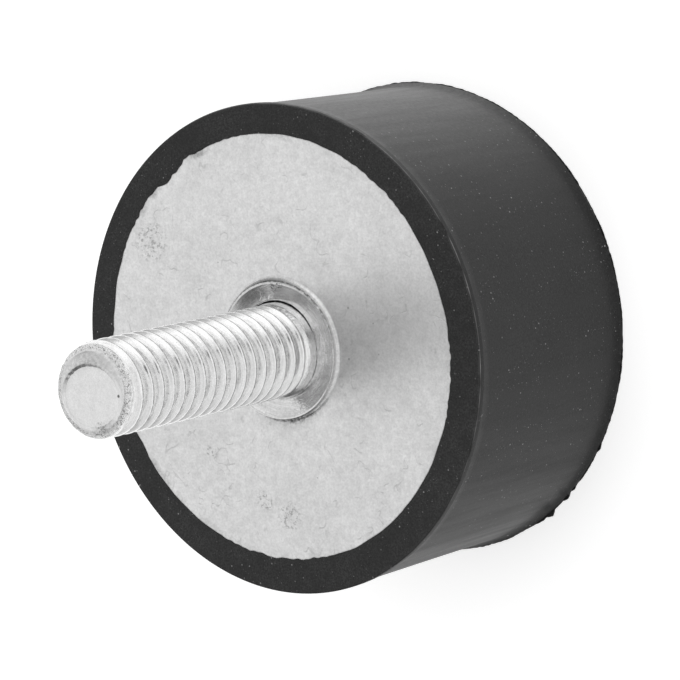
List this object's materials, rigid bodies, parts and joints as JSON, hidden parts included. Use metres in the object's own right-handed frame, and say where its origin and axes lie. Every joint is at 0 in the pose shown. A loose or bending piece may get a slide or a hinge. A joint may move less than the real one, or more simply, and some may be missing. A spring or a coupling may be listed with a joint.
{
  "type": "bobbin vibration mount",
  "caption": "Round rubber vibration mount with a steel plate bonded into each end, a male stud on one and a blind threaded bush in the other.",
  "frame": {"origin": "centre of the rear end face, where the part rests", "axes": "+Z along the stud, from the rear end face towards the stud's tip; the part is round about Z, so X and Y are free"},
  "size_m": [0.04, 0.04, 0.043],
  "materials": {
    "rubber": "matt black moulded rubber",
    "plate_zinc": "pale zinc plating, finely mottled",
    "stud_zinc": "bright zinc plating on rolled thread"
  },
  "bodies": {
    "root": {"rubber_body": "rubber", "front_plate": "plate_zinc", "threaded_stud": "stud_zinc", "rear_plate": "plate_zinc", "threaded_bush": "stud_zinc"}
  },
  "joints": []
}
